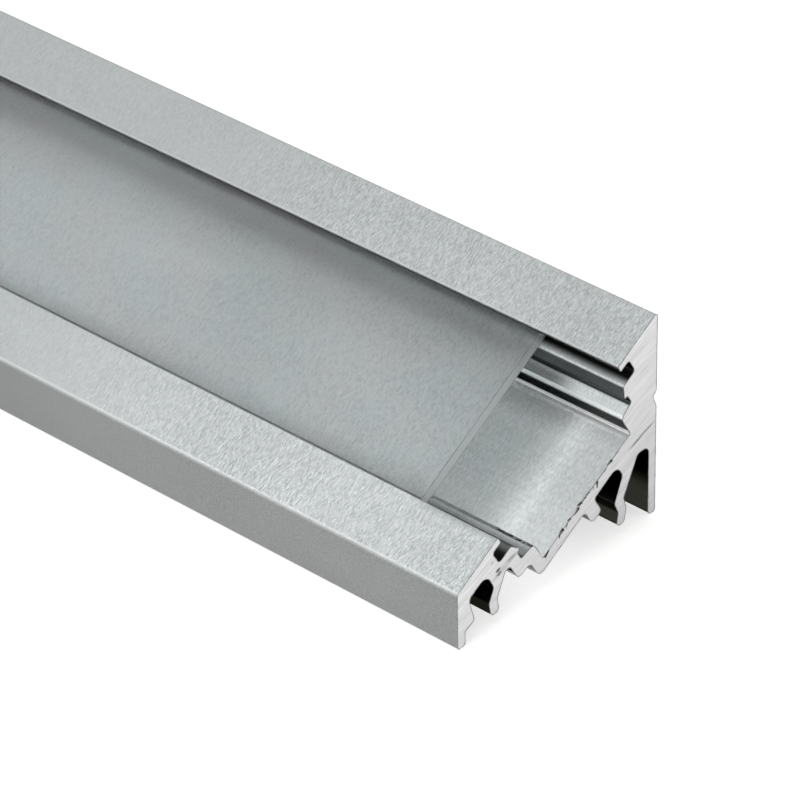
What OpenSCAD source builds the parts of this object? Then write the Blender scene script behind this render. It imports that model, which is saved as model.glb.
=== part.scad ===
// Corner LED profile: a bar of extruded aluminium with its lit face at 30 degrees to the base,
// and the flat diffuser strip that slides into the grooves of that face.
// The bar lies along Y on the ends of its two walls, with the tall wall on the +X side.
// Origin: middle of the footprint, on the base plane.

/* [Profile] */
// length of the aluminium bar
profile_len = 1000; // [200:50:2000]
// width over both outer walls
profile_w = 19.9; // [19.5:0.1:22]
// height of the short outer wall
short_wall_h = 4.4; // [4:0.1:5]
// slope of the lit face to the base
face_angle = 30; // [29:0.5:31]
// thickness of both outer walls near the base
wall_t = 0.7; // [0.5:0.05:0.85]
// rounding of the outer corners
corner_r = 0.18; // [0.1:0.01:0.22]
// rounding of the edges along the mouth of the channel
mouth_r = 0.12; // [0.05:0.01:0.15]

/* [Strip channel] */
// free width between the tips of the two face flanges
mouth_w = 13.8; // [13.2:0.1:14.4]
// thickness of the face flanges
flange_t = 0.55; // [0.4:0.05:0.7]
// width of the grooves for the diffuser, wall to wall
groove_w = 15.7; // [15.3:0.1:16]
// height of those grooves
groove_h = 1.3; // [1.2:0.05:1.4]
// width between the ledges that carry the diffuser
ledge_gap = 13; // [12.8:0.1:13.2]
// width between the undercut feet of the ledges
ledge_foot_gap = 12.1; // [11.9:0.1:12.3]
// how far the ledges slant inwards below the groove
ledge_h = 1; // [0.9:0.05:1.05]
// width of the small notches under the ledges
notch_w = 12.8; // [12.6:0.1:12.9]
// height of those notches
notch_h = 0.85; // [0.75:0.05:0.9]
// width of the flat bed for the light strip
bed_w = 10.2; // [10:0.1:10.4]
// depth of the bed below the lit face
bed_depth = 5.8; // [5.6:0.1:6]
// thickness of the plate under the bed
bed_t = 0.95; // [0.85:0.05:1]

/* [Back of the channel] */
// thickness of the stepped side under the short wall's end of the channel
side_t = 0.95; // [0.85:0.05:1]
// metal left around the short wall's end of the diffuser groove
shelf_t = 1.15; // [1.05:0.05:1.2]
// thickness of the face over the clip slot in the short wall
roof_t = 1.4; // [1.3:0.05:1.5]
// width of the clip slot behind the short wall
short_slot_w = 2.05; // [1.95:0.05:2.15]
// width of the stub under the bed plate
stub_w = 1.1; // [1:0.05:1.2]
// length of the stub under the bed plate
stub_h = 1.55; // [1.4:0.05:1.6]
// width of the clip slot beside the stub
mid_slot_w = 2.7; // [2.6:0.05:2.75]
// distance from that slot's far wall to the upper corner of the face
mid_slot_u = 8.5; // [8.4:0.05:8.6]

/* [Snap legs] */
// thickness of the two inner snap legs
leg_t = 0.8; // [0.7:0.05:0.85]
// height of the snap legs' ends above the base
leg_clear = 0.85; // [0.75:0.05:1]
// width of the slot between the tall wall and its snap leg
wall_slot_w = 2.6; // [2.5:0.05:2.65]
// height of that slot's round end above the base
wall_slot_h = 5.65; // [5.5:0.05:5.7]
// height of the tall wall's snap leg where it bends
knee_h = 2.85; // [2.75:0.05:2.9]
// height of the barbs that a snapped clip holds on
barb_h = 1.9; // [1.8:0.05:1.95]
// how far the barbs stand out sideways
barb_out = 0.38; // [0.3:0.02:0.4]
// distance of the short wall's snap leg from that wall's outer face
short_leg_x = 3.47; // [3.4:0.01:3.5]

/* [Drill line] */
// height of the drill line's upper edge above the base
line_h = 9.7; // [9:0.1:9.9]
// width of the drill line
line_w = 1.2; // [0.8:0.1:1.3]
// depth of the drill line
line_d = 0.35; // [0.2:0.05:0.4]

/* [Diffuser] */
// thickness of the diffuser
cover_t = 0.8; // [0.6:0.05:1]
// side play of the diffuser in its grooves
cover_play = 0.15; // [0.1:0.05:0.3]
// how far the diffuser stands back from the near end of the bar
cover_setback = 7.2; // [0:0.2:20]

/* [Hidden] */
// angle of one step along a rounding
arc_step = 10;
// gap that keeps the resting diffuser clear of the ledges
seat_gap = 0.01;
// face length, full height, and the lines that other shapes hang on
face_len = profile_w / cos(face_angle);
profile_h = short_wall_h + profile_w * tan(face_angle);
mid_u = face_len / 2;
ledge_n = flange_t + groove_h;
notch_n = ledge_n + ledge_h;
shelf_n = ledge_n + shelf_t;
back_n = bed_depth + bed_t;
// the same three lines of the stepped side, counted down the slope
bed_side_u = mid_u + bed_w / 2 + side_t;
notch_side_u = mid_u + notch_w / 2 + side_t;
short_slot_u = mid_u + groove_w / 2 + shelf_t;
// middle line of the snap leg beside the tall wall
wall_leg_x = -wall_t - wall_slot_w - leg_t / 2;
cover_w = groove_w - 2 * cover_play;
cover_len = profile_len - cover_setback;

metal = [0.78, 0.80, 0.81];
frosted = [0.66, 0.68, 0.68];

// which piece to show

// A point of the section: u runs down the lit face from its upper corner, n runs into the metal.
// X is 0 on the tall wall's outer face and Y is 0 on the base; r is the rounding at that corner.
function on_face(u, n, r = 0) = [
    n * sin(face_angle) - u * cos(face_angle),
    profile_h - u * sin(face_angle) - n * cos(face_angle),
    r
];

function flat(p) = [p.x, p.y];

// Steps of the arc that rounds corner b, between its neighbours a and c.
function rounding(a, b, c) =
    let (
        to_a = (flat(a) - flat(b)) / norm(flat(a) - flat(b)),
        to_c = (flat(c) - flat(b)) / norm(flat(c) - flat(b)),
        half = acos(to_a * to_c) / 2,
        turn = 180 - 2 * half,
        steps = max(1, ceil(turn / arc_step)),
        bisector = (to_a + to_c) / norm(to_a + to_c),
        centre = flat(b) + bisector * b[2] / sin(half),
        side = sign(to_a.x * to_c.y - to_a.y * to_c.x),
        start = atan2(-bisector.y, -bisector.x) + side * turn / 2
    )
    b[2] == 0 ? [flat(b)] : [
        for (i = [0 : steps])
            centre + b[2] * [cos(start - side * turn * i / steps), sin(start - side * turn * i / steps)]
    ];

// Closed outline through [x, y, radius] corners.
module rounded_polygon(corners) {
    last = len(corners) - 1;
    polygon([
        for (i = [0 : last])
            each rounding(corners[i == 0 ? last : i - 1], corners[i], corners[i == last ? 0 : i + 1])
    ]);
}

// Outside of the section, clockwise from the upper corner of the lit face.
tall_wall = [
    on_face(0, 0, corner_r),
    [0, line_h, 0],
    [-line_d, line_h - line_w / 4, corner_r],
    [0, line_h - line_w, 0],
    [0, 0, corner_r],
    [-wall_t, 0, wall_t / 2],
    [-wall_t, wall_slot_h, leg_t * 0.7],
    [-wall_t - wall_slot_w * 0.45, wall_slot_h, leg_t * 0.55]
];

wall_snap_leg = [
    [wall_leg_x + leg_t / 2, knee_h, leg_t / 3],
    [wall_leg_x + leg_t / 2 + barb_out * 0.8, barb_h, leg_t / 2],
    [wall_leg_x + leg_t / 2 + barb_out / 4, leg_clear, leg_t * 0.4],
    [wall_leg_x - leg_t / 2 + barb_out / 4, leg_clear, leg_t * 0.4],
    [wall_leg_x - leg_t / 2 + barb_out * 0.8, barb_h, leg_t / 2],
    [wall_leg_x - leg_t / 2 - barb_out / 4, knee_h, leg_t / 3]
];

mid_slot = [
    on_face(mid_slot_u, back_n + 1.2, 0.5),
    on_face(mid_slot_u, back_n, 0.65),
    on_face(mid_slot_u + mid_slot_w, back_n, 0.25)
];

stub = [
    on_face(mid_slot_u + mid_slot_w, back_n + stub_h, 0.3),
    on_face(mid_slot_u + mid_slot_w + stub_w, back_n + stub_h, 0.45),
    on_face(mid_slot_u + mid_slot_w + stub_w, back_n, 0.35)
];

stepped_side = [
    on_face(bed_side_u, back_n, 0.55),
    on_face(bed_side_u, back_n - 2 * side_t, 0.4),
    on_face(notch_side_u, back_n - 2 * side_t, 0.45),
    on_face(notch_side_u, shelf_n, 0.35),
    on_face(notch_side_u + 0.5, shelf_n, 0.2)
];

short_snap_leg = [
    [-profile_w + short_leg_x + leg_t / 2, barb_h + 0.05, 0.4],
    [-profile_w + short_leg_x + leg_t / 2 + barb_out / 2, leg_clear, leg_t * 0.4],
    [-profile_w + short_leg_x - leg_t / 2 + barb_out / 2, leg_clear, leg_t * 0.4],
    [-profile_w + short_leg_x - leg_t / 2, barb_h + 0.05, 0.25],
    on_face(short_slot_u + 0.1, shelf_n, 0.5),
    on_face(short_slot_u, roof_t, 0.75)
];

short_wall = [
    on_face(short_slot_u + short_slot_w, roof_t, 0.45),
    [-profile_w + wall_t + 2.5 * barb_out, barb_h - leg_t / 2, 0.3],
    [-profile_w + wall_t, barb_h - leg_t, 0.2],
    [-profile_w + wall_t, 0, wall_t / 3],
    [-profile_w, 0, corner_r],
    on_face(face_len, 0, corner_r)
];

// One half of the strip channel as [half width, depth, radius], from the mouth to the bed.
channel_half = [
    [mouth_w / 2, 0, mouth_r],
    [mouth_w / 2, flange_t, mouth_r],
    [groove_w / 2, flange_t, 0.25],
    [groove_w / 2, ledge_n, 0.3],
    [ledge_gap / 2, ledge_n, 0.2],
    [ledge_foot_gap / 2, notch_n, 0.1],
    [notch_w / 2, notch_n, 0.15],
    [notch_w / 2, notch_n + notch_h, 0.15],
    [bed_w / 2 + 0.3, notch_n + notch_h + 0.15, 0.2],
    [bed_w / 2, notch_n + notch_h + 0.4, 0.1],
    [bed_w / 2, bed_depth, 0.1]
];

// Down the channel's lower side, across the bed, and up its upper side to the face again.
strip_channel = concat(
    [for (c = channel_half) on_face(mid_u + c[0], c[1], c[2])],
    [for (i = [len(channel_half) - 1 : -1 : 0])
        on_face(mid_u - channel_half[i][0], channel_half[i][1], channel_half[i][2])]
);

// Runs a section along Y, from the far end of the bar towards the near end.
module along_bar(len) {
    translate([profile_w / 2, profile_len / 2, 0])
        rotate([90, 0, 0])
            linear_extrude(len)
                children();
}

module channel_profile() {
    color(metal)
        along_bar(profile_len)
            rounded_polygon(concat(
                tall_wall, wall_snap_leg, mid_slot, stub, stepped_side, short_snap_leg,
                short_wall, strip_channel
            ));
}

module diffuser_cover() {
    low_n = ledge_n - seat_gap;
    high_n = low_n - cover_t;
    color(frosted)
        along_bar(cover_len)
            rounded_polygon([
                on_face(mid_u - cover_w / 2, high_n, cover_t / 5),
                on_face(mid_u + cover_w / 2, high_n, cover_t / 5),
                on_face(mid_u + cover_w / 2, low_n, cover_t / 5),
                on_face(mid_u - cover_w / 2, low_n, cover_t / 5)
            ]);
}

channel_profile();
diffuser_cover();
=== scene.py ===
"""Looks of the corner light profile: satin bar, sawn ends with their burrs, and a frosted diffuser."""
import math
from collections import namedtuple

import bpy
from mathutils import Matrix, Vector


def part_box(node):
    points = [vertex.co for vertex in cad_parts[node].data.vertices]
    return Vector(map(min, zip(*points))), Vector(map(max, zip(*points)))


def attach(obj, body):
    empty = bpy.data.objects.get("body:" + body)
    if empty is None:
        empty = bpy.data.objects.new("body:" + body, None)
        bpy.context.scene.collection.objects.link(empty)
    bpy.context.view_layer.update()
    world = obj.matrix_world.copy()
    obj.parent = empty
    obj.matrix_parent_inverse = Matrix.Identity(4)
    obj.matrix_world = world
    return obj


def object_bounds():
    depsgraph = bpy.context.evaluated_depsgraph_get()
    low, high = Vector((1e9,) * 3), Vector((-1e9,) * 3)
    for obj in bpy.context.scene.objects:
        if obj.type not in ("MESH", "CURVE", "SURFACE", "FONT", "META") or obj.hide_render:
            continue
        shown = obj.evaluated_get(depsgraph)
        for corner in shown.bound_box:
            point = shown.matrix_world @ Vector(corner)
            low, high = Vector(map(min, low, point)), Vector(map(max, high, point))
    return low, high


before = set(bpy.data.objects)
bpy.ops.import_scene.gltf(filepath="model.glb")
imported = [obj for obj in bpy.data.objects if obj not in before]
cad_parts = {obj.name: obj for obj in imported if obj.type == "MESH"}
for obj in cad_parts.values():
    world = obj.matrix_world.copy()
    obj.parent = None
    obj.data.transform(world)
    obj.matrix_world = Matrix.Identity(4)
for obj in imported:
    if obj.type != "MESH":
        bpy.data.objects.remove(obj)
cad_low, cad_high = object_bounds()

MM = 0.001
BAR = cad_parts["channel_profile"]
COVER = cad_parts["diffuser_cover"]
ORIGIN = Vector((0, 0, 0))
WHITE = (1.0, 1.0, 1.0)
# the value that noise lies about
NOISE_MEAN = 0.5

# the section, as it is in the part: the lit face slopes down from the top of the tall wall
FACE_SLOPE = math.radians(30)
SHORT_WALL = 4.4 * MM
BAR_WIDTH = cad_high[0] - cad_low[0]
FACE_TOP = SHORT_WALL + BAR_WIDTH * math.tan(FACE_SLOPE)
NEAR_END = cad_low[1]
DOWN_FACE = Vector((-math.cos(FACE_SLOPE), 0, -math.sin(FACE_SLOPE)))
INTO_FACE = Vector((math.sin(FACE_SLOPE), 0, -math.cos(FACE_SLOPE)))
FACE_CORNER = Vector((cad_high[0], NEAR_END, FACE_TOP))

# sizes that the finishes follow, in millimetres, as distances in the section or along the bar
FACE_LENGTH = BAR_WIDTH / math.cos(FACE_SLOPE) / MM
FACE_MIDDLE = FACE_LENGTH / 2
HALF_WIDTH = BAR_WIDTH / MM / 2
WALL = 0.7
EDGE_ROUND = 0.13
BELOW_FACE = 0.9
MOUTH_HALF = 6.9
CHANNEL_HALF = 7.95
CHANNEL_STEP = 1.3
LEDGE_DEPTH = 1.85
GROOVE_FLOOR = 1.9
NOTCH_TOP = 2.88
RIDGE_DEPTH = 3.78
NOTCH_FLOOR = 4.0
BED_DEPTH = 5.8
BED_HALF = 5.1
# depth that a ramp of tones by depth spans
RAMP_DEPTH = 2 * BED_DEPTH
# the open underside between the narrow slots, from the middle of the bar
UNDERSIDE = (-6.0, 3.3)
COVER_SETBACK = (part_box("diffuser_cover")[0][1] - NEAR_END) / MM
# how far off a surface its finish still holds
SKIN = 0.1
BED_SKIN = 0.04
WALL_SKIN = 0.05
END_FACING = 0.7

# grain patterns: features a millimetre across the face, along the bar and inwards, detail, roughness
STREAK = ((2.9, 8.5, 8.5), 3.0, 0.65)
FLECK = ((4.0, 12.0, 12.0), 1.0, 0.5)
CLOUD = ((0.12, 0.05, 0.12), 3.0, 0.55)
DIE_LINE = ((4.0, 0.02, 4.0), 3.0, 0.6)
WAVE = ((1.3, 5.5, 5.5), 2.0, 0.6)
PIT = ((1.6, 3.2, 3.2), 2.0, 0.5)
SAW_LINE = ((0.3, 0.0, 6.0), 3.0, 0.65)
SAW_SWEEP = ((0.08, 0.0, 1.1), 2.0, 0.5)
SAW_CONTOUR = ((0.05, 0.0, 2.0), 1.0, 0.5)
SAW_TEAR = ((1.5, 0.0, 4.0), 2.0, 0.6)
FROST = ((4.0, 6.0, 6.0), 2.0, 0.7)
FROST_HAIR = ((2.0, 6.0, 6.0), 3.0, 0.7)
FROST_CLOUD = ((0.18, 0.06, 0.18), 2.0, 0.5)
FROST_TINT = ((0.35, 0.2, 0.35), 2.0, 0.6)
FROST_SPECK = ((1.1, 1.1, 1.1), 1.0, 0.5)
BURR_GRAIN = ((3.0, 3.0, 3.0), 2.0, 0.5)
# shares of streak, cloud and fleck in the satin's tone, and of streak, die line and crease in its relief
SATIN_MIX = (0.6, 0.2, 0.2)
SATIN_RELIEF_MIX = (1.0, 0.1, -0.2)
# the inner faces: shares of die line, cloud and streak in the tone, of streak and die line in the relief
INNER_MIX = (0.15, 0.35, 0.5)
INNER_RELIEF_MIX = (0.4, 0.15)
# shares of saw line and sweep in the sawn ends, and of frost, hair and cloud in the diffuser
SAWN_MIX = (0.7, 0.3)
FROSTED_MIX = (0.45, 0.35, 0.2)

# a fade is given as from, to, and the values at both where these aren't 0 and 1
# tones are given as stops of grain and colour, dark to light
SATIN_TONES = ((0.36, (0.32, 0.342, 0.342)), (0.5, (0.43, 0.452, 0.452)), (0.64, (0.53, 0.556, 0.556)))
# dark of the pits and creases, also used as painted shade on the top edge and beside the lower mouth
SATIN_PIT_AND_SHADE = (0.26, 0.28, 0.28)
# painted highlight on the rounded edges of the lit face
SATIN_EDGE_HIGHLIGHT = (0.56, 0.585, 0.585)
# the satin is a little lighter at the near end
SATIN_LEVEL = (24, 44, 1.06, 0.95)
# the grain is stronger near the sawn end, and weaker on the walls than on the lit face
GRAIN_STRENGTH = (22, 39, 1.22, 0.5)
WALL_GRAIN = (0.2, 0.5, 1.0, 0.7)
CREASE_EDGE = (0.0, 0.035, 1.0, 0.0)
CREASE_SHARE = 0.16
PIT_EDGE = (0.72, 0.78)
PIT_SHARE = 0.45
# painted shade: the short wall is darker than the lit face, from this depth and this far down the face
SHORT_WALL_SHADE = (0.60, 0.59, 0.585)
WALL_FROM = (0.02, 0.25)
SHORT_WALL_FROM = (14.0, 15.0)
# rounded edges of the lit face: the thin dark one on top, with painted shade, and the bright ones of the
# foot and the mouth, with painted highlights
TOP_EDGE_SHADE = (0.12, 0.24, 1.0, 0.0)
NEAR_FACE = (0.01, 0.05, 1.0, 0.0)
FOOT_EDGE = (FACE_LENGTH - 0.22, FACE_LENGTH - 0.1)
MOUTH_EDGE = (0.06, 0.2, 0.7, 0.0)
# painted shade on the lower flange beside the channel's mouth, near the open end of the channel
MOUTH_SHADE = (MOUTH_HALF, 7.5, 0.7, 0.0)
MOUTH_SHADE_END = (5, 8, 1.0, 0.0)
# a roughness is the least and what the grain adds, and a bump is its strength and its height in millimetres
SATIN_ROUGH = (0.35, 0.14)
CHANNEL_ROUGH = (0.29, 0.10)
LEDGE_ROUGH = 0.3
SATIN_BUMP = (0.8, 0.05)

CHANNEL_TONES = ((0.36, (0.37, 0.394, 0.394)), (0.5, (0.49, 0.517, 0.519)), (0.64, (0.61, 0.645, 0.645)))
# painted light and shade of the channel by depth below the lit face, dark in grooves and on walls, bright on
# ledge tips, ridge and bed corners: upper side, lower side, and under the diffuser
RECESS_LIGHT_AND_SHADE = (
    (0.13, 0.9), (0.3, 0.4), (0.5, 0.1), (1.72, 0.10), (1.80, 1.45), (1.92, 1.45), (2.02, 0.65), (2.80, 0.7),
    (2.9, 1.1), (3.86, 1.15), (3.9, 2.0), (4.0, 2.1), (4.12, 0.3), (4.2, 0.17), (5.45, 0.15), (5.58, 2.0),
    (5.72, 2.0), (5.79, 1.0),
)
LOWER_RECESS_LIGHT_AND_SHADE = (
    (0.2, 0.05), (1.72, 0.05), (1.80, 0.3), (3.68, 0.3), (3.78, 0.4), (3.84, 0.5), (3.88, 1.5), (4.1, 2.1),
    (4.3, 1.6), (5.7, 1.0),
)
COVERED_LIGHT_AND_SHADE = ((1.7, 0.87), (4.0, 0.87), (4.2, 0.73), (5.5, 0.82), (5.8, 1.2))
# the deeper, the farther in the open end's painted light and shade reach
COVERED_SLANT = 0.65
COVERED_FROM = (COVER_SETBACK - COVERED_SLANT * LEDGE_DEPTH, COVER_SETBACK + 0.5)
# painted shade in the grooves under the flanges, and beside the ridge in the notches
GROOVE_SHADE = (6.6, 7.2)
GROOVE_DARK = (0.03, 0.03, 0.03)
NOTCH_SHADE = (6.07, 6.19)
NOTCH_DARK = (0.12, 0.12, 0.12)
# painted sheen and shadow of the bed by distance from the near end, and the painted highlight beside its
# walls
BED_PAINTED_SHEEN = (
    (0, 1.0), (2.2, 1.06), (3.3, 1.30), (4.2, 1.22), (5.0, 1.03), (6.1, 0.90), (9.6, 0.88), (12, 1.04),
)
BED_PAINTED_SHEEN_END = 12.0
BED_PAINTED_SHEEN_TINT = (1.0, 0.992, 0.992)
BED_CORNER_HIGHLIGHT = (BED_HALF - 0.2, BED_HALF - 0.08, 0.0, 0.6)
BED_CORNER_HIGHLIGHT_TONE = (1.8, 1.8, 1.8)
# on the upper side bed and ridge get painted light beside a wall, and painted shade farther in from the near
# end
BED_LIFT = (4.4, 4.8, 0.0, 1.1)
BED_FAR_SHADE_SIDE = (2.5, 4.0)
BED_FAR_SHADE = (3.6, 5.0, 0.0, -0.20)
RIDGE_LIFT = (5.75, 6.2, 0.0, 0.6)
RIDGE_FAR_SHADE = (3.4, 6.5, 0.0, -0.65)
# share of the grazing gloss that the recesses keep; the rest takes the colour of their painted shade
RECESS_GLANCE = (1.0, 6.0, 0.30, 0.10)

# painted shade in the slots in the back: dark, and darker from this height above the base
SLOT_SHADE_TONES = ((0.36, (0.04, 0.04, 0.034)), (0.64, (0.062, 0.062, 0.053)))
SLOT_DEEP_SHADE = (0.01, 0.01, 0.01)
SLOT_SHADE = (1.9, 3.6)
# painted shade in the slots' grazing gloss
SLOT_GLANCE = (0.06, 0.06, 0.054)

SAW_SLANT = math.radians(18)
SAWN_TONES = ((0.36, (0.63, 0.63, 0.64)), (0.48, (0.72, 0.72, 0.73)), (0.64, (0.79, 0.79, 0.80)))
SAWN_MARK = (0.12, 0.12, 0.125)
# painted light on the sawn end, lighter towards its top and left: level at the upper corner, and its change
# a millimetre sideways and upwards
SAWN_PAINTED_LIGHT = (1.16, -0.009, 0.02)
SAWN_METAL = 0.5
SAWN_ROUGH = 0.5
SAWN_BUMP = (0.6, 0.02)
# grain levels that hairlines of the saw follow
SAW_HAIRLINES = (0.40, 0.47, 0.53, 0.61)
HAIRLINE_EDGE = (0.0, 0.02, 0.16, 0.0)
# smears and scratches on the sawn ends: x, z, angle, half length, half width, strength
END_MARKS = (
    (-15.92, -11.75, 15, 0.30, 0.18, 1.0), (-15.84, -12.08, 15, 0.28, 0.18, 0.95),
    (-15.3, -11.85, 22, 1.7, 0.32, 0.28), (-14.6, -11.5, 15, 0.6, 0.16, 0.4),
    (-1.35, -8.95, 18, 1.6, 0.10, 0.85), (-2.1, -9.3, 18, 0.9, 0.07, 0.5),
    (-16.5, -10.85, 10, 0.18, 0.12, 0.4),
)
MARK_EDGE = (0.2, 1.0, 1.0, 0.0)
MARK_TEAR = (0.3, 0.5, 0.6, 1.0)

FROSTED_TONES = ((0.36, (0.66, 0.67, 0.67)), (0.58, (1.0, 1.0, 1.0)))
FROSTED_TINTS = ((0.40, (0.95, 0.99, 0.99)), (0.60, (0.975, 0.98, 0.985)))
# farther in from the near end the diffuser's grain is weaker, and its tone a little paler
FROSTED_GRAIN = (6, 45, 1.35, 0.85)
FROSTED_PALER = (20, 50, 0.0, 0.03)
FROSTED_SPECK = (0.45, 0.45, 0.46)
SPECK_EDGE = (0.83, 0.86, 0.0, 0.6)
# painted shade: the dark line where the diffuser goes under the lower flange
FROSTED_RIM_SHADE = (0.22, 0.225, 0.225)
COVER_RIM_SHADE = (6.48, 6.55)
# its cut ends, and the plastic itself
FROSTED_CUT = (0.88, 0.895, 0.895)
FROSTED_CLEAR = 0.88
FROSTED_ROUGH = 0.66
FROSTED_IOR = 1.37
FROSTED_BUMP = (0.6, 0.015)

BURR_COLOURS = ((0.16, 0.165, 0.165), (0.32, 0.33, 0.33))
# the slivers are real burrs, and their near-black metal is painted shade
TORN_SHADE_COLOURS = ((0.01, 0.01, 0.01), (0.14, 0.14, 0.14))
PLASTIC_BURR_COLOURS = ((0.22, 0.23, 0.23), (0.42, 0.43, 0.43))
BURR_STOPS = (0.35, 0.65)
BURR_ROUGH = (0.35, 0.2)

# burrs and slivers, with sizes in metres as the generators take them
BEAD_RADIUS = 0.028 * MM
COVER_BEAD_RADIUS = 0.6 * BEAD_RADIUS
BEAD_STEP = 0.12 * MM
BEAD_UNEVENNESS = 1.6
BEAD_SIDES = 5
BEAD_WAVES = 0.9 / MM
CORNER_JOIN = 0.001 * MM
RIM_FACING = 0.9
SLIVER_TURN = Vector((0.5, 0.5, 3.0))
SLIVER_LENGTHS = (0.4, 1.6)
SLIVER_SIDES = 5
SLIVER_TIP = 0.08
SLIVER_FOOT = 0.22
SLIVER_FLATNESS = (0.45, 1.0, 1.0)

FLOOR_REACH = 3.0
FLOOR_TONE = 0.70
FLOOR_TINTS = ((0.3, (1.0, 0.985, 0.975)), (0.7, (1.02, 1.005, 0.995)))
FLOOR_LIFT = 0.62
ROOM_LIGHT = 0.58
# lamps: name, place, what it points at, size, radiance, spread in degrees
LAMPS = (
    ("overhead_box", (-0.15, 0.10, 0.95), (0, -0.40, 0), (1.1, 1.1), 0.14, 180),
    ("left_box", (-0.07, 0, 0.16), (-0.045, 0, 0), (1.3, 0.06), 0.55, 40),
    ("front_box", (0.45, -0.95, 0.16), (0, -0.5, 0.01), (0.35, 0.25), 2.6, 180),
)
CAMERA_PLACE = (-0.20043, -0.66824, 0.19669)
CAMERA_TURN = (55.126, 0.966, -48.458)
CAMERA_LENS = 225.64
CAMERA_SENSOR = 36
CAMERA_NEAR = 0.01

Place = namedtuple("Place", "down_face depth off_middle along lower_side")
Grain = namedtuple("Grain", "streak fleck cloud die_line crease strength")


def on_face(down, depth, along=0.0):
    """A point so many mm down the lit face from its upper corner, into the metal, and from the near end."""
    return FACE_CORNER + (down * DOWN_FACE + depth * INTO_FACE + Vector((0, along, 0))) * MM


# name, start, end, places, share of them used, size, seed
SLIVER_EDGES = (
    ("bed_edge_slivers", on_face(6.6, BED_DEPTH), on_face(16.4, BED_DEPTH), 46, 0.35, 0.42 * MM, 4),
    ("ridge_slivers", on_face(16.75, 3.95, 0.05), on_face(16.75, 3.95, 2.8), 20, 0.75, 0.36 * MM, 7),
)


def add_node(tree, kind, inputs=None, **settings):
    """One node with its settings, and its inputs given by name or number as a value or a socket."""
    node = tree.nodes.new(kind)
    for name, value in settings.items():
        setattr(node, name, value)
    for key, value in (inputs or {}).items():
        socket = node.inputs[key]
        if isinstance(value, bpy.types.NodeSocket):
            tree.links.new(value, socket)
        else:
            socket.default_value = value
    return node


def math_node(tree, operation, *values):
    """Result of one math operation on values or sockets."""
    return add_node(tree, "ShaderNodeMath", dict(enumerate(values)), operation=operation).outputs[0]


def above(tree, value, limit):
    """One where a value is above the limit, and zero elsewhere."""
    return math_node(tree, "GREATER_THAN", value, limit)


def below(tree, value, limit):
    """One where a value is below the limit, and zero elsewhere."""
    return math_node(tree, "LESS_THAN", value, limit)


def close_to(tree, value, middle, reach):
    """One where a value lies within reach of the middle, and zero elsewhere."""
    return math_node(tree, "COMPARE", value, middle, reach)


def distance_from(tree, value, middle):
    return math_node(tree, "ABSOLUTE", math_node(tree, "SUBTRACT", value, middle))


def inverse(tree, mask):
    return math_node(tree, "SUBTRACT", 1.0, mask)


def product(tree, first, *others):
    for other in others:
        first = math_node(tree, "MULTIPLY", first, other)
    return first


def weighted(tree, *pairs):
    """Sum of (socket, weight) pairs."""
    total = 0.0
    for socket, weight in pairs:
        total = math_node(tree, "MULTIPLY_ADD", socket, weight, total)
    return total


def fade(tree, value, start, end, low=0.0, high=1.0):
    """Smooth change from low to high while the value goes from start to end."""
    return add_node(
        tree, "ShaderNodeMapRange", {0: value, 1: start, 2: end, 3: low, 4: high},
        interpolation_type="SMOOTHSTEP",
    ).outputs[0]


def with_contrast(tree, tone, strength):
    """A tone spread about its middle by a strength."""
    off_mean = math_node(tree, "SUBTRACT", tone, NOISE_MEAN)
    return math_node(tree, "MULTIPLY_ADD", off_mean, strength, NOISE_MEAN)


def ramp(tree, factor, *stops):
    """A colour ramp through (position, colour) stops."""
    node = add_node(tree, "ShaderNodeValToRGB", {"Fac": factor})
    while len(node.color_ramp.elements) < len(stops):
        node.color_ramp.elements.new(0.5)
    for element, (position, colour) in zip(node.color_ramp.elements, stops):
        element.position = position
        element.color = (*colour, 1)
    return node.outputs["Color"]


def mix_colour(tree, factor, a, b, blend="MIX"):
    """Two colours, each a tuple or a socket, mixed by a factor or blended in another way."""
    node = add_node(tree, "ShaderNodeMix", data_type="RGBA", blend_type=blend)
    for socket, value in ((node.inputs[0], factor), (node.inputs[6], a), (node.inputs[7], b)):
        if isinstance(value, bpy.types.NodeSocket):
            tree.links.new(value, socket)
        elif isinstance(value, tuple):
            socket.default_value = (*value, 1)
        else:
            socket.default_value = value
    return node.outputs[2]


def multiplied(tree, colour, by):
    return mix_colour(tree, 1.0, colour, by, "MULTIPLY")


def noise(tree, place, detail=2.0, roughness=0.5):
    """Noise of one feature a unit of the place given."""
    return add_node(
        tree, "ShaderNodeTexNoise",
        {"Vector": place, "Scale": 1.0, "Detail": detail, "Roughness": roughness},
    ).outputs["Fac"]


def grain(tree, turn, per_mm, detail, roughness):
    """Noise on Object coordinates, turned about the bar's length and scaled to features per millimetre."""
    place = tree.nodes.new("ShaderNodeTexCoord").outputs["Object"]
    turned = add_node(tree, "ShaderNodeMapping", {"Vector": place, "Rotation": (0, turn, 0)}).outputs[0]
    scale = tuple(features / MM for features in per_mm)
    scaled = add_node(tree, "ShaderNodeMapping", {"Vector": turned, "Scale": scale}).outputs[0]
    return noise(tree, scaled, detail, roughness)


def bumped(tree, height, strength, relief):
    """Surface normal of a height pattern, its relief in millimetres."""
    return add_node(tree, "ShaderNodeBump", {
        "Strength": strength, "Distance": relief * MM, "Height": height,
    }).outputs[0]


def new_finish(name):
    """An empty material, its node tree and its output node."""
    material = bpy.data.materials.new(name)
    material.use_nodes = True
    tree = material.node_tree
    tree.nodes.clear()
    output = tree.nodes.new("ShaderNodeOutputMaterial")
    return material, tree, output


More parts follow.
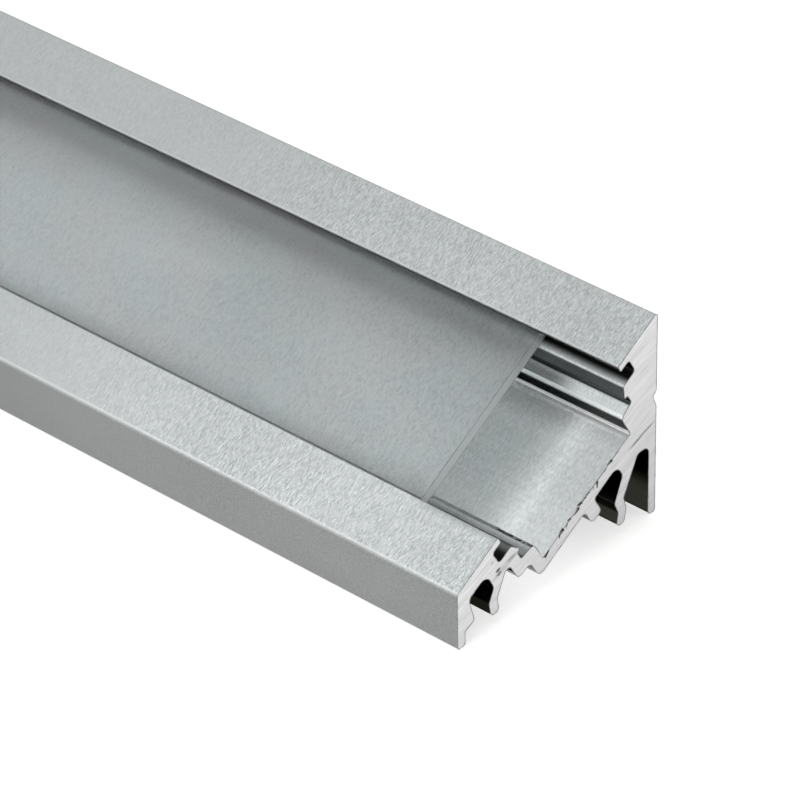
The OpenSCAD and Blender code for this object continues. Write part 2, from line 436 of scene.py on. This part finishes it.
def distance_along(tree, direction, start):
    """How far, in millimetres, a point of the object lies from start along a direction."""
    place = tree.nodes.new("ShaderNodeTexCoord").outputs["Object"]
    dot = add_node(
        tree, "ShaderNodeVectorMath", {0: place, 1: tuple(Vector(direction) / MM)}, operation="DOT_PRODUCT")
    return math_node(tree, "SUBTRACT", dot.outputs["Value"], Vector(direction).dot(start) / MM)


def end_faces(tree):
    """Mask of the faces that look along the bar."""
    normal = tree.nodes.new("ShaderNodeTexCoord").outputs["Normal"]
    facing = add_node(tree, "ShaderNodeSeparateXYZ", {0: normal}).outputs["Y"]
    return above(tree, math_node(tree, "ABSOLUTE", facing), END_FACING)


def section_place(tree):
    """Where a point lies in the section, and whether that is on the channel's lower side."""
    down_face = distance_along(tree, DOWN_FACE, FACE_CORNER)
    return Place(
        down_face=down_face,
        depth=distance_along(tree, INTO_FACE, FACE_CORNER),
        off_middle=distance_from(tree, down_face, FACE_MIDDLE),
        along=distance_along(tree, (0, 1, 0), FACE_CORNER),
        lower_side=above(tree, down_face, FACE_MIDDLE),
    )


def bar_zones(tree, at):
    """Masks of the strip channel, of the back of the section, and of its narrow slots there."""
    below_grooves = above(tree, at.depth, GROOVE_FLOOR)
    below_notches = above(tree, at.depth, NOTCH_FLOOR)
    half_width = weighted(tree, (below_grooves, -CHANNEL_STEP), (below_notches, -CHANNEL_STEP))
    half_width = math_node(tree, "ADD", half_width, CHANNEL_HALF)
    channel = product(
        tree, below(tree, at.off_middle, half_width), below(tree, at.depth, BED_DEPTH + SKIN),
        above(tree, at.depth, EDGE_ROUND))

    across = distance_along(tree, (1, 0, 0), ORIGIN)
    between_walls = below(tree, math_node(tree, "ABSOLUTE", across), HALF_WIDTH - WALL + WALL_SKIN)
    back = product(tree, between_walls, above(tree, at.depth, BELOW_FACE), inverse(tree, channel))
    narrow = math_node(
        tree, "MAXIMUM", above(tree, across, UNDERSIDE[1]), below(tree, across, UNDERSIDE[0]))
    return channel, back, narrow


def depth_tone(tree, depth, stops):
    """Grey tone by depth below the lit face."""
    share = math_node(tree, "DIVIDE", depth, RAMP_DEPTH)
    return ramp(tree, share, *((stop / RAMP_DEPTH, (tone,) * 3) for stop, tone in stops))


def bed_painted_sheen(tree, at):
    """Painted sheen and shadow of the bed along the bar, and the painted highlight beside its walls."""
    stops = ((stop / BED_PAINTED_SHEEN_END, tuple(tone * t for t in BED_PAINTED_SHEEN_TINT)) for stop, tone in BED_PAINTED_SHEEN)
    sheen = ramp(tree, math_node(tree, "DIVIDE", at.along, BED_PAINTED_SHEEN_END), *stops)
    return mix_colour(tree, fade(tree, at.off_middle, *BED_CORNER_HIGHLIGHT), sheen, BED_CORNER_HIGHLIGHT_TONE)


def upper_side_level(tree, at, on_bed):
    """Painted light and shade of the bed and the ridge on the channel's upper side, and one elsewhere."""
    bed_lift = fade(tree, at.off_middle, *BED_LIFT)
    bed_far_shade = product(tree, fade(tree, at.off_middle, *BED_FAR_SHADE_SIDE), fade(tree, at.along, *BED_FAR_SHADE))
    bed = math_node(tree, "ADD", bed_lift, bed_far_shade)
    ridge_lift = fade(tree, at.off_middle, *RIDGE_LIFT)
    ridge = math_node(tree, "ADD", ridge_lift, fade(tree, at.along, *RIDGE_FAR_SHADE))
    on_ridge = close_to(tree, at.depth, RIDGE_DEPTH, SKIN)
    change = math_node(tree, "ADD", product(tree, on_bed, bed), product(tree, on_ridge, ridge))
    return math_node(tree, "MULTIPLY_ADD", inverse(tree, at.lower_side), change, 1.0)


def channel_shade(tree, at):
    """Painted shade in the recesses, and painted highlights on ledge tips, bed and corners."""
    # painted light and shade by depth, on either side and under the diffuser
    upper_tone = depth_tone(tree, at.depth, RECESS_LIGHT_AND_SHADE)
    lower_tone = depth_tone(tree, at.depth, LOWER_RECESS_LIGHT_AND_SHADE)
    shade = mix_colour(tree, at.lower_side, upper_tone, lower_tone)
    covered = fade(tree, weighted(tree, (at.along, 1.0), (at.depth, -COVERED_SLANT)), *COVERED_FROM)
    shade = mix_colour(tree, covered, shade, depth_tone(tree, at.depth, COVERED_LIGHT_AND_SHADE))

    # painted shade in the grooves and the notches
    above_ledge = below(tree, at.depth, GROOVE_FLOOR + SKIN)
    in_groove = product(tree, above_ledge, fade(tree, at.off_middle, *GROOVE_SHADE))
    shade = mix_colour(tree, in_groove, shade, GROOVE_DARK)
    notch_middle = (NOTCH_TOP + NOTCH_FLOOR) / 2
    beside_ridge = close_to(tree, at.depth, notch_middle, (NOTCH_FLOOR - NOTCH_TOP) / 2)
    in_notch = product(tree, beside_ridge, fade(tree, at.off_middle, *NOTCH_SHADE))
    shade = mix_colour(tree, in_notch, shade, NOTCH_DARK)

    # painted sheen, shadow and highlights on the bed
    on_bed = above(tree, at.depth, BED_DEPTH - BED_SKIN)
    shade = multiplied(tree, shade, mix_colour(tree, on_bed, WHITE, bed_painted_sheen(tree, at)))
    return multiplied(tree, shade, upper_side_level(tree, at, on_bed))


def recess_glance(tree, at, shade, channel, back):
    """Tint of the grazing gloss, dimmed by the painted shade of the recesses and by painted shade in the
    slots.
    """
    glance = mix_colour(tree, 1.0, shade, WHITE, "DARKEN")
    glance = mix_colour(tree, fade(tree, at.along, *RECESS_GLANCE), glance, WHITE)
    glance = mix_colour(tree, channel, WHITE, glance)
    return mix_colour(tree, back, glance, SLOT_GLANCE)


def back_colour(tree, inner_tone, narrow, channel_colour):
    """Painted shade in the narrow slots, darker farther up; the open underside between them is like the
    channel.
    """
    slot = ramp(tree, inner_tone, *SLOT_SHADE_TONES)
    height_up = distance_along(tree, (0, 0, 1), ORIGIN)
    slot = mix_colour(tree, fade(tree, height_up, *SLOT_SHADE), slot, SLOT_DEEP_SHADE)
    return mix_colour(tree, narrow, channel_colour, slot)


def painted_edge_highlights(tree, at):
    """Mask of the painted highlights on the rounded edges of the lit face."""
    foot = fade(tree, at.down_face, *FOOT_EDGE)
    mouth = fade(tree, distance_from(tree, at.off_middle, MOUTH_HALF), *MOUTH_EDGE)
    upper_mouth = product(tree, mouth, inverse(tree, at.lower_side))
    either = math_node(tree, "MAXIMUM", foot, upper_mouth)
    return product(tree, fade(tree, at.depth, *NEAR_FACE), either)


def satin_grain(tree, at):
    """Short streaks up the lit face with flecks and creases in them, and lines of the die along the bar."""
    wave = grain(tree, FACE_SLOPE, *WAVE)
    return Grain(
        streak=grain(tree, FACE_SLOPE, *STREAK),
        fleck=grain(tree, FACE_SLOPE, *FLECK),
        cloud=grain(tree, FACE_SLOPE, *CLOUD),
        die_line=grain(tree, FACE_SLOPE, *DIE_LINE),
        crease=fade(tree, distance_from(tree, wave, NOISE_MEAN), *CREASE_EDGE),
        strength=product(tree, fade(tree, at.along, *GRAIN_STRENGTH), fade(tree, at.depth, *WALL_GRAIN)),
    )


def satin_colour(tree, at, satin):
    """Colour of the bar's outside: grain, creases and pits, painted highlights on its edges, and painted
    shade on its top edge, beside the lower mouth and on the short wall.
    """
    tone = weighted(tree, *zip((satin.streak, satin.cloud, satin.fleck), SATIN_MIX))
    colour = ramp(tree, with_contrast(tree, tone, satin.strength), *SATIN_TONES)
    pit = fade(tree, grain(tree, FACE_SLOPE, *PIT), *PIT_EDGE)
    creases = product(tree, satin.crease, CREASE_SHARE, satin.strength)
    marks = math_node(tree, "MULTIPLY_ADD", pit, PIT_SHARE, creases)
    colour = mix_colour(tree, marks, colour, SATIN_PIT_AND_SHADE)
    # painted highlights on the rounded foot and upper mouth edges
    colour = mix_colour(tree, painted_edge_highlights(tree, at), colour, SATIN_EDGE_HIGHLIGHT)
    # painted shade on the lower flange beside the mouth, near the open end
    shaded_mouth = product(
        tree, fade(tree, at.off_middle, *MOUTH_SHADE), fade(tree, at.along, *MOUTH_SHADE_END), at.lower_side)
    colour = mix_colour(tree, shaded_mouth, colour, SATIN_PIT_AND_SHADE)
    # painted shade on the short wall
    on_wall = fade(tree, at.depth, *WALL_FROM)
    on_short_wall = product(tree, on_wall, fade(tree, at.down_face, *SHORT_WALL_FROM))
    colour = mix_colour(tree, on_short_wall, colour, multiplied(tree, colour, SHORT_WALL_SHADE))
    colour = multiplied(tree, colour, fade(tree, at.along, *SATIN_LEVEL))
    # painted shade: a thin dark line along the top edge
    return mix_colour(tree, fade(tree, at.down_face, *TOP_EDGE_SHADE), colour, SATIN_PIT_AND_SHADE)


def satin_relief(tree, at, satin, inner):
    """Roughness and surface normal of the satin outside and of the plainer inner faces."""
    least, added = SATIN_ROUGH
    rough = math_node(tree, "MULTIPLY_ADD", satin.fleck, added, least)
    least, added = CHANNEL_ROUGH
    inner_rough = math_node(tree, "MULTIPLY_ADD", satin.cloud, added, least)
    on_ledge = close_to(tree, at.depth, LEDGE_DEPTH, SKIN)
    inner_rough = math_node(tree, "MULTIPLY_ADD", on_ledge, LEDGE_ROUGH, inner_rough)
    rough = add_node(tree, "ShaderNodeMix", {0: inner, 2: rough, 3: inner_rough}).outputs[0]
    height = add_node(tree, "ShaderNodeMix", {
        0: inner,
        2: weighted(tree, *zip((satin.streak, satin.die_line, satin.crease), SATIN_RELIEF_MIX)),
        3: weighted(tree, *zip((satin.streak, satin.die_line), INNER_RELIEF_MIX)),
    }).outputs[0]
    return rough, bumped(tree, product(tree, height, satin.strength), *SATIN_BUMP)


def end_mark(tree, across, up, x, z, angle, half_length, half_width):
    """Soft mask of a long spot on the sawn end, x and z mm from the upper corner of the face."""
    slant = math.radians(angle)
    across = math_node(tree, "SUBTRACT", across, x)
    up = math_node(tree, "SUBTRACT", up, z)
    along = weighted(tree, (across, math.cos(slant) / half_length), (up, math.sin(slant) / half_length))
    off = weighted(tree, (across, -math.sin(slant) / half_width), (up, math.cos(slant) / half_width))
    reach = math_node(tree, "ADD", product(tree, along, along), product(tree, off, off))
    return fade(tree, reach, *MARK_EDGE)


def sawn_metal(tree):
    """Raw metal of the saw cut: saw lines at a slant, hairlines, and a few smears and scratches."""
    saw_line = grain(tree, SAW_SLANT, *SAW_LINE)
    saw_sweep = grain(tree, SAW_SLANT, *SAW_SWEEP)
    saw_tone = weighted(tree, *zip((saw_line, saw_sweep), SAWN_MIX))
    colour = ramp(tree, saw_tone, *SAWN_TONES)
    contour = grain(tree, SAW_SLANT, *SAW_CONTOUR)
    for hairline in SAW_HAIRLINES:
        beside = distance_from(tree, contour, hairline)
        colour = mix_colour(tree, fade(tree, beside, *HAIRLINE_EDGE), colour, SAWN_MARK)

    across = distance_along(tree, (1, 0, 0), FACE_CORNER)
    up = distance_along(tree, (0, 0, 1), FACE_CORNER)
    # painted light on the sawn end, lighter towards its top and left
    at_corner, sideways, upwards = SAWN_PAINTED_LIGHT
    level = math_node(tree, "ADD", weighted(tree, (across, sideways), (up, upwards)), at_corner)
    colour = multiplied(tree, colour, level)
    tear = fade(tree, grain(tree, SAW_SLANT, *SAW_TEAR), *MARK_TEAR)
    for *spot, strength in END_MARKS:
        mask = product(tree, end_mark(tree, across, up, *spot), tear, strength)
        colour = mix_colour(tree, mask, colour, SAWN_MARK)
    return add_node(tree, "ShaderNodeBsdfPrincipled", {
        "Base Color": colour, "Metallic": SAWN_METAL, "Roughness": SAWN_ROUGH,
        "Normal": bumped(tree, saw_tone, *SAWN_BUMP),
    }).outputs[0]


def satin_bar_finish():
    """Clear anodised bar, with the raw metal of the saw cut on its two ends."""
    material, tree, output = new_finish("satin_anodised_aluminium")
    at = section_place(tree)
    channel, back, narrow = bar_zones(tree, at)
    satin = satin_grain(tree, at)
    inner_tone = weighted(tree, *zip((satin.die_line, satin.cloud, satin.streak), INNER_MIX))
    shade = channel_shade(tree, at)
    channel_colour = multiplied(tree, ramp(tree, inner_tone, *CHANNEL_TONES), shade)
    colour = mix_colour(tree, channel, satin_colour(tree, at, satin), channel_colour)
    colour = mix_colour(tree, back, colour, back_colour(tree, inner_tone, narrow, channel_colour))
    rough, normal = satin_relief(tree, at, satin, math_node(tree, "MAXIMUM", channel, back))
    metal = add_node(tree, "ShaderNodeBsdfPrincipled", {
        "Base Color": colour, "Metallic": 1.0, "Roughness": rough, "Normal": normal,
        "Specular Tint": recess_glance(tree, at, shade, channel, back),
    })
    both = add_node(tree, "ShaderNodeMixShader", {
        0: end_faces(tree), 1: metal.outputs[0], 2: sawn_metal(tree),
    })
    tree.links.new(both.outputs[0], output.inputs["Surface"])
    return material


def frosted_finish():
    """Frosted diffuser: milky plastic that lets soft light through, with a very fine matt grain."""
    material, tree, output = new_finish("frosted_plastic")
    at = section_place(tree)
    frost = grain(tree, FACE_SLOPE, *FROST)
    hair = grain(tree, FACE_SLOPE, *FROST_HAIR)
    cloud = grain(tree, FACE_SLOPE, *FROST_CLOUD)
    tone = weighted(tree, *zip((frost, hair, cloud), FROSTED_MIX))
    tone = with_contrast(tree, tone, fade(tree, at.along, *FROSTED_GRAIN))
    tone = math_node(tree, "ADD", tone, fade(tree, at.along, *FROSTED_PALER))
    colour = ramp(tree, tone, *FROSTED_TONES)
    tint = ramp(tree, grain(tree, FACE_SLOPE, *FROST_TINT), *FROSTED_TINTS)
    colour = multiplied(tree, colour, tint)
    speck = fade(tree, grain(tree, FACE_SLOPE, *FROST_SPECK), *SPECK_EDGE)
    colour = mix_colour(tree, speck, colour, FROSTED_SPECK)
    # painted shade where the diffuser goes under the lower flange
    rim = product(tree, fade(tree, at.off_middle, *COVER_RIM_SHADE), at.lower_side)
    colour = mix_colour(tree, rim, colour, FROSTED_RIM_SHADE)
    colour = mix_colour(tree, end_faces(tree), colour, FROSTED_CUT)
    plastic = add_node(tree, "ShaderNodeBsdfPrincipled", {
        "Base Color": colour, "Roughness": FROSTED_ROUGH, "Normal": bumped(tree, frost, *FROSTED_BUMP),
        "IOR": FROSTED_IOR, "Transmission Weight": FROSTED_CLEAR,
    })
    tree.links.new(plastic.outputs[0], output.inputs["Surface"])
    return material


def burr_finish(name, colours, metallic):
    """Thin torn burr of the saw, dull and a little darker than the cut."""
    material, tree, output = new_finish(name)
    tone = grain(tree, 0.0, *BURR_GRAIN)
    least, added = BURR_ROUGH
    burr = add_node(tree, "ShaderNodeBsdfPrincipled", {
        "Base Color": ramp(tree, tone, *zip(BURR_STOPS, colours)), "Metallic": metallic,
        "Roughness": math_node(tree, "MULTIPLY_ADD", tone, added, least),
    })
    tree.links.new(burr.outputs[0], output.inputs["Surface"])
    return material


def seen_rays(tree):
    """One for rays that show the background: to the camera, in the metal's gloss, through the plastic."""
    path = tree.nodes.new("ShaderNodeLightPath").outputs
    shown = math_node(tree, "MAXIMUM", path["Is Camera Ray"], path["Is Glossy Ray"])
    return math_node(tree, "MAXIMUM", shown, path["Is Transmission Ray"])


def floor_finish():
    """Pale studio floor that is seen as white, and that keeps the shadow."""
    material, tree, output = new_finish("white_floor")
    soft = noise(tree, tree.nodes.new("ShaderNodeTexCoord").outputs["Object"])
    stops = ((position, tuple(FLOOR_TONE * t for t in tint)) for position, tint in FLOOR_TINTS)
    diffuse = add_node(tree, "ShaderNodeBsdfDiffuse", {"Color": ramp(tree, soft, *stops)})
    lift = add_node(tree, "ShaderNodeEmission", {"Strength": product(tree, seen_rays(tree), FLOOR_LIFT)})
    total = add_node(tree, "ShaderNodeAddShader", {0: diffuse.outputs[0], 1: lift.outputs[0]})
    tree.links.new(total.outputs[0], output.inputs["Surface"])
    return material


def new_generator(name, sockets):
    """A geometry node tree with named inputs, and its input and output nodes."""
    tree = bpy.data.node_groups.new(name, "GeometryNodeTree")
    tree.interface.new_socket("Geometry", in_out="INPUT", socket_type="NodeSocketGeometry")
    for label, kind in sockets:
        tree.interface.new_socket(label, in_out="INPUT", socket_type=kind)
    tree.interface.new_socket("Geometry", in_out="OUTPUT", socket_type="NodeSocketGeometry")
    return tree, tree.nodes.new("NodeGroupInput").outputs, tree.nodes.new("NodeGroupOutput").inputs


def finish_generator(tree, geometry, material, result):
    """The last nodes of a generator, which paint its geometry and make it real."""
    painted = add_node(tree, "GeometryNodeSetMaterial", {"Geometry": geometry, "Material": material})
    whole = add_node(tree, "GeometryNodeRealizeInstances", {"Geometry": painted.outputs[0]})
    tree.links.new(whole.outputs[0], result["Geometry"])


def end_rim(tree, bar):
    """The outline of a bar's two end faces, as a curve."""
    mesh = add_node(tree, "GeometryNodeObjectInfo", {"Object": bar}).outputs["Geometry"]
    joined = add_node(tree, "GeometryNodeMergeByDistance", {
        "Geometry": mesh, "Distance": CORNER_JOIN,
    }).outputs[0]
    normal = tree.nodes.new("GeometryNodeInputNormal").outputs[0]
    facing = add_node(tree, "ShaderNodeSeparateXYZ", {0: normal}).outputs["Y"]
    is_end = add_node(
        tree, "FunctionNodeCompare", {0: math_node(tree, "ABSOLUTE", facing), 1: RIM_FACING},
        data_type="FLOAT", operation="GREATER_THAN").outputs[0]
    ends = add_node(
        tree, "GeometryNodeSeparateGeometry", {"Geometry": joined, "Selection": is_end},
        domain="FACE").outputs["Selection"]
    faces = tree.nodes.new("GeometryNodeInputMeshEdgeNeighbors").outputs[0]
    is_rim = add_node(
        tree, "FunctionNodeCompare", {2: faces, 3: 1}, data_type="INT", operation="EQUAL").outputs[0]
    return add_node(tree, "GeometryNodeMeshToCurve", {"Mesh": ends, "Selection": is_rim}).outputs[0]


def outline_bead_generator():
    """An uneven bead swept along the outline of a bar's two end faces."""
    tree, given, result = new_generator("outline_bead", (
        ("Bar", "NodeSocketObject"), ("Radius", "NodeSocketFloat"), ("Step", "NodeSocketFloat"),
        ("Unevenness", "NodeSocketFloat"), ("Material", "NodeSocketMaterial"),
    ))
    rim = add_node(
        tree, "GeometryNodeResampleCurve", {"Curve": end_rim(tree, given["Bar"]), "Length": given["Step"]},
        mode="LENGTH").outputs[0]
    wobble = add_node(tree, "ShaderNodeTexNoise", {"Scale": BEAD_WAVES, "Detail": 2.0}).outputs["Fac"]
    spread = product(tree, math_node(tree, "SUBTRACT", wobble, NOISE_MEAN), given["Unevenness"])
    radius = math_node(tree, "MULTIPLY_ADD", spread, given["Radius"], given["Radius"])
    rim = add_node(tree, "GeometryNodeSetCurveRadius", {"Curve": rim, "Radius": radius}).outputs[0]
    ring = add_node(
        tree, "GeometryNodeCurvePrimitiveCircle", {"Resolution": BEAD_SIDES, "Radius": 1.0}).outputs[0]
    bead = add_node(
        tree, "GeometryNodeCurveToMesh", {"Curve": rim, "Profile Curve": ring, "Scale": radius}).outputs[0]
    finish_generator(tree, bead, given["Material"], result)
    return tree


def edge_sliver_generator():
    """Small torn slivers, scattered along a straight edge."""
    tree, given, result = new_generator("edge_slivers", (
        ("Start", "NodeSocketVector"), ("End", "NodeSocketVector"), ("Places", "NodeSocketInt"),
        ("Share", "NodeSocketFloat"), ("Size", "NodeSocketFloat"), ("Seed", "NodeSocketInt"),
        ("Material", "NodeSocketMaterial"),
    ))
    seed = given["Seed"]
    edge = add_node(
        tree, "GeometryNodeCurvePrimitiveLine", {"Start": given["Start"], "End": given["End"]}).outputs[0]
    places = add_node(
        tree, "GeometryNodeCurveToPoints", {"Curve": edge, "Count": given["Places"]}, mode="COUNT")
    chosen = add_node(
        tree, "FunctionNodeRandomValue", {"Probability": given["Share"], "Seed": seed}, data_type="BOOLEAN")
    turn = add_node(
        tree, "FunctionNodeRandomValue", {0: -SLIVER_TURN, 1: SLIVER_TURN, "Seed": seed},
        data_type="FLOAT_VECTOR").outputs[0]
    turned = add_node(tree, "FunctionNodeRotateRotation", {
        "Rotation": places.outputs["Rotation"],
        "Rotate By": add_node(tree, "FunctionNodeEulerToRotation", {0: turn}).outputs[0],
    }, rotation_space="LOCAL").outputs[0]
    shortest, longest = SLIVER_LENGTHS
    length = add_node(
        tree, "FunctionNodeRandomValue", {2: shortest, 3: longest, "Seed": seed},
        data_type="FLOAT").outputs[1]
    sliver = add_node(tree, "GeometryNodeMeshCone", {
        "Vertices": SLIVER_SIDES, "Side Segments": 2, "Depth": 1.0,
        "Radius Top": SLIVER_TIP, "Radius Bottom": SLIVER_FOOT,
    }).outputs["Mesh"]
    flat = add_node(
        tree, "GeometryNodeTransform", {"Geometry": sliver, "Scale": SLIVER_FLATNESS}).outputs[0]
    placed = add_node(tree, "GeometryNodeInstanceOnPoints", {
        "Points": places.outputs["Points"], "Selection": chosen.outputs[3], "Instance": flat,
        "Rotation": turned, "Scale": product(tree, length, given["Size"]),
    }).outputs[0]
    finish_generator(tree, placed, given["Material"], result)
    return tree


def generated_piece(name, tree, values):
    """A plain mesh made by a geometry node tree, declared as a piece of the bar."""
    carrier = bpy.data.objects.new(name + "_carrier", bpy.data.meshes.new(name + "_carrier"))
    bpy.context.scene.collection.objects.link(carrier)
    modifier = carrier.modifiers.new("generator", "NODES")
    modifier.node_group = tree
    for item in tree.interface.items_tree:
        if item.in_out == "INPUT" and item.name in values:
            modifier[item.identifier] = values[item.name]
    carrier.update_tag()
    depsgraph = bpy.context.evaluated_depsgraph_get()
    depsgraph.update()
    mesh = bpy.data.meshes.new_from_object(carrier.evaluated_get(depsgraph))
    bpy.data.objects.remove(carrier)
    piece = bpy.data.objects.new(name, mesh)
    mesh.name = name
    bpy.context.scene.collection.objects.link(piece)
    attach(piece, "root")


def make_burrs():
    """Beads round the sawn ends of bar and diffuser, and slivers along the bed's edge and the ridge."""
    metal = burr_finish("burr_metal", BURR_COLOURS, 1.0)
    # slivers of real burrs, with painted shade in their near-black metal
    torn = burr_finish("shaded_torn_metal", TORN_SHADE_COLOURS, 1.0)
    plastic = burr_finish("burr_plastic", PLASTIC_BURR_COLOURS, 0.0)
    bead = outline_bead_generator()
    for name, node, radius, material, slot in (
            ("sawn_edge_burr", BAR, BEAD_RADIUS, metal, "channel_profile"),
            ("diffuser_edge_burr", COVER, COVER_BEAD_RADIUS, plastic, "diffuser_cover")):
        generated_piece(name, bead, {
            "Bar": node, "Radius": radius, "Step": BEAD_STEP, "Unevenness": BEAD_UNEVENNESS,
            "Material": material,
        })
    slivers = edge_sliver_generator()
    for name, start, end, places, share, size, seed in SLIVER_EDGES:
        generated_piece(name, slivers, {
            "Start": start, "End": end, "Places": places, "Share": share, "Size": size, "Seed": seed,
            "Material": torn,
        })


def make_floor():
    """Square studio floor under the bar."""
    reach = FLOOR_REACH
    mesh = bpy.data.meshes.new("studio_floor")
    corners = [(-reach, -reach, 0), (reach, -reach, 0), (reach, reach, 0), (-reach, reach, 0)]
    mesh.from_pydata(corners, [], [(0, 1, 2, 3)])
    floor = bpy.data.objects.new("studio_floor", mesh)
    bpy.context.scene.collection.objects.link(floor)
    floor.data.materials.append(floor_finish())


def make_world():
    """White where it is seen, and dimmer as the light of the room."""
    world = bpy.data.worlds.new("white_studio")
    bpy.context.scene.world = world
    world.use_nodes = True
    tree = world.node_tree
    tree.nodes.clear()
    output = tree.nodes.new("ShaderNodeOutputWorld")
    strength = math_node(tree, "MULTIPLY_ADD", seen_rays(tree), 1.0 - ROOM_LIGHT, ROOM_LIGHT)
    background = add_node(tree, "ShaderNodeBackground", {"Color": (*WHITE, 1), "Strength": strength})
    tree.links.new(background.outputs[0], output.inputs["Surface"])


def make_lamp(name, place, target, size, radiance, spread):
    """Area lamp that points at a target and isn't seen itself."""
    lamp = bpy.data.lights.new(name, "AREA")
    lamp.shape = "RECTANGLE"
    lamp.size, lamp.size_y = size
    lamp.energy = radiance * math.pi * size[0] * size[1]
    lamp.spread = math.radians(spread)
    holder = bpy.data.objects.new(name, lamp)
    holder.location = place
    direction = Vector(target) - Vector(place)
    holder.rotation_euler = direction.to_track_quat("-Z", "Y").to_euler()
    holder.visible_camera = False
    bpy.context.scene.collection.objects.link(holder)


def make_camera():
    """Camera of the reference photo."""
    camera = bpy.data.cameras.new("camera")
    camera.lens = CAMERA_LENS
    camera.sensor_width = CAMERA_SENSOR
    camera.clip_start = CAMERA_NEAR
    holder = bpy.data.objects.new("camera", camera)
    holder.location = CAMERA_PLACE
    holder.rotation_euler = [math.radians(degrees) for degrees in CAMERA_TURN]
    bpy.context.scene.collection.objects.link(holder)
    bpy.context.scene.camera = holder


make_camera()
make_world()
make_floor()
for lamp_values in LAMPS:
    make_lamp(*lamp_values)

bpy.context.scene.view_settings.view_transform = "Standard"

BAR.data.materials.clear()
BAR.data.materials.append(satin_bar_finish())
COVER.data.materials.clear()
COVER.data.materials.append(frosted_finish())
make_burrs()
